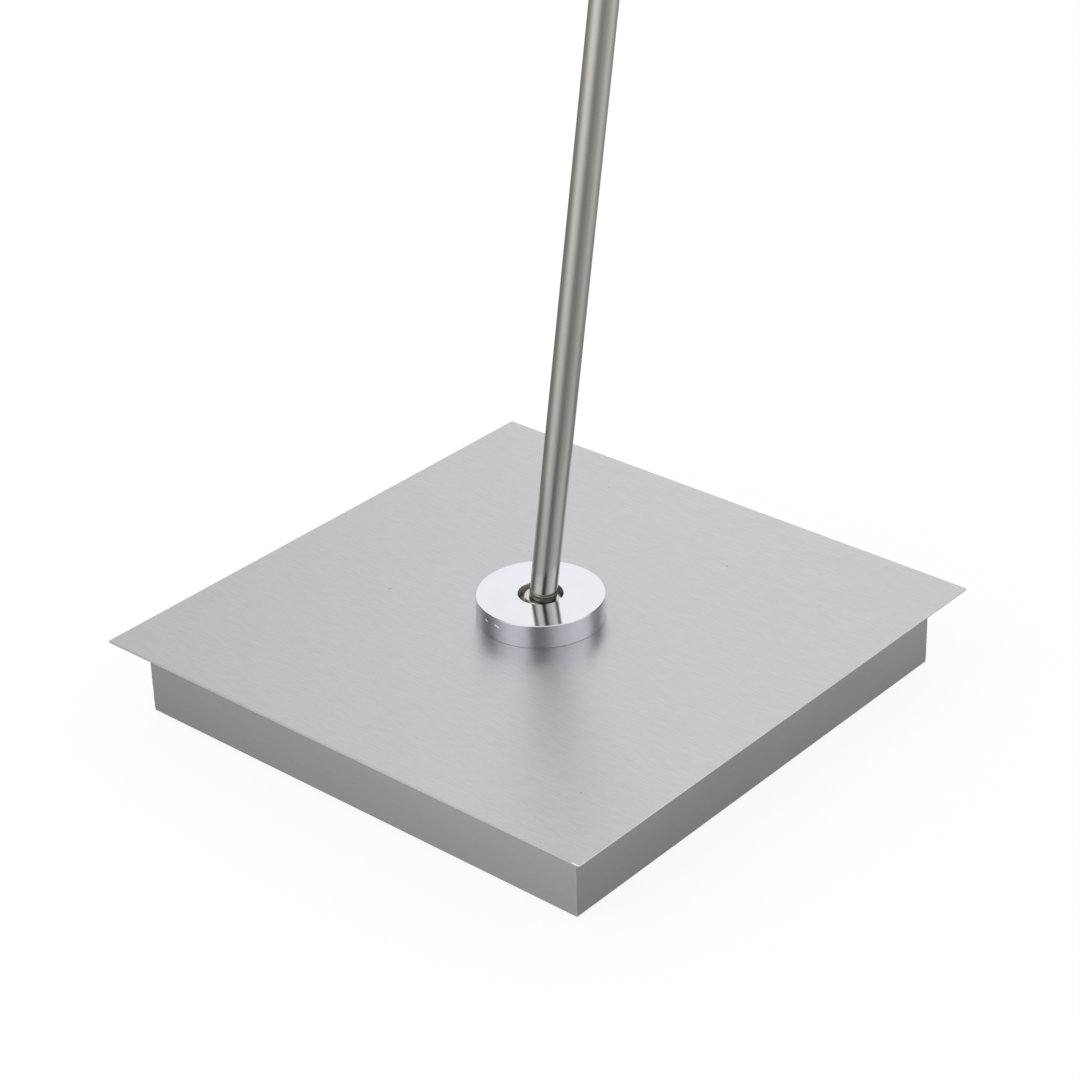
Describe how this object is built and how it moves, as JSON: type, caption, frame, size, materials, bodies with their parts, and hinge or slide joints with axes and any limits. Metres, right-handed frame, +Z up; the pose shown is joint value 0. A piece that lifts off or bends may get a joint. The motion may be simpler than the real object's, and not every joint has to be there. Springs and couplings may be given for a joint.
{
  "type": "office floor lamp",
  "caption": "Office floor lamp: square brushed-steel weighted base, chrome collar over a ball joint, slim leaning pole and a flat light head.",
  "frame": {"origin": "on the floor under the middle of the square base", "axes": "+Z up, +X and +Y along the sides of the base; the cord gland is on the +Y side and the pole leans between +X and -Y"},
  "size_m": [0.5497, 0.6201, 1.4922],
  "materials": {
    "brushed_plate": "fine straight brushing, satin",
    "brushed_skirt": "fine brushing, satin",
    "raw_steel": "flame-cut steel, dull",
    "zinc": "zinc plated",
    "dark_sheet": "grey primer",
    "foot_rubber": "matt",
    "polished_chrome": "polished",
    "spring_steel": "blackened",
    "black_plastic": "matt",
    "white_plastic": "matt",
    "driver_plastic": "matt",
    "wire_brown": "smooth",
    "wire_red": "smooth",
    "lead_black": "smooth",
    "nylon": "waxy",
    "ball_nickel": "satin nickel plate",
    "brass_plated": "turned",
    "satin_nickel": "satin, brushed lengthwise",
    "cap_grey": "fine grain",
    "brushed_aluminium": "brushed and anodised",
    "board_white": "solder mask",
    "chip_yellow": "phosphor",
    "opal": "opal, satin",
    "button_metal": "turned"
  },
  "bodies": {
    "base": {"top_plate": "brushed_plate", "tray": "brushed_skirt", "ballast": "raw_steel", "long_nuts": "zinc", "bottom_cover": "dark_sheet", "cover_screws": "zinc", "rubber_feet": "foot_rubber", "collar": "polished_chrome", "collar_screws": "zinc", "pressure_plate": "zinc", "tension_screws": "zinc", "disc_springs": "spring_steel", "cord_gland": "black_plastic", "gland_nut": "black_plastic", "terminal_block": "white_plastic", "terminal_screws": "zinc", "led_driver": "driver_plastic", "driver_screws": "zinc", "mains_wires": "wire_brown", "slack_lead": "lead_black"},
    "seat": {"ball_seat": "nylon"},
    "pole": {"pivot_ball": "ball_nickel", "hollow_stud": "brass_plated", "stud_washer": "zinc", "stud_nut": "zinc", "pole_foot": "satin_nickel", "lower_tube": "satin_nickel", "tube_joiner": "satin_nickel", "upper_tube": "satin_nickel", "head_socket": "polished_chrome", "set_screw": "spring_steel", "pole_lead": "lead_black", "thrust_washer": "nylon"},
    "neck": {"swivel_fork": "polished_chrome", "hinge_bolt": "polished_chrome", "friction_washers": "nylon", "spring_washer": "spring_steel", "cap_nut": "polished_chrome", "head_lead": "lead_black"},
    "head": {"hinge_tongue": "satin_nickel", "tongue_screws": "zinc", "rear_end_cap": "cap_grey", "head_housing": "brushed_aluminium", "front_end_cap": "cap_grey", "cap_screws": "zinc", "led_board": "board_white", "light_chips": "chip_yellow", "diffuser": "opal", "switch_body": "black_plastic", "inner_wires": "wire_red"},
    "button": {"dimmer_button": "button_metal"}
  },
  "joints": [
    {"name": "pole_turn", "type": "hinge", "parent": "base", "child": "seat", "pos_m": [0, 0, 0.04054], "axis": [0, 0, 1], "range_deg": [-170, 170], "deforming": ["slack_lead"]},
    {"name": "pole_tilt", "type": "hinge", "parent": "seat", "child": "pole", "pos_m": [0, 0, 0.04054], "axis": [0.766, 0.6428, 0], "range_deg": [-18.5, 5.5], "deforming": ["slack_lead"]},
    {"name": "head_turn", "type": "hinge", "parent": "pole", "child": "neck", "pos_m": [0.10409, -0.12405, 1.46181], "axis": [0.0728, -0.0867, 0.9936], "range_deg": [-170, 170]},
    {"name": "head_tilt", "type": "hinge", "parent": "neck", "child": "head", "pos_m": [0.10569, -0.12596, 1.48366], "axis": [0.766, 0.6428, 0], "range_deg": [-60, 35], "deforming": ["head_lead"]},
    {"name": "button_push", "type": "slide", "parent": "head", "child": "button", "axis": [0, 0, -1], "range_m": [0, 0.001], "stiffness_N_per_m": 800}
  ]
}
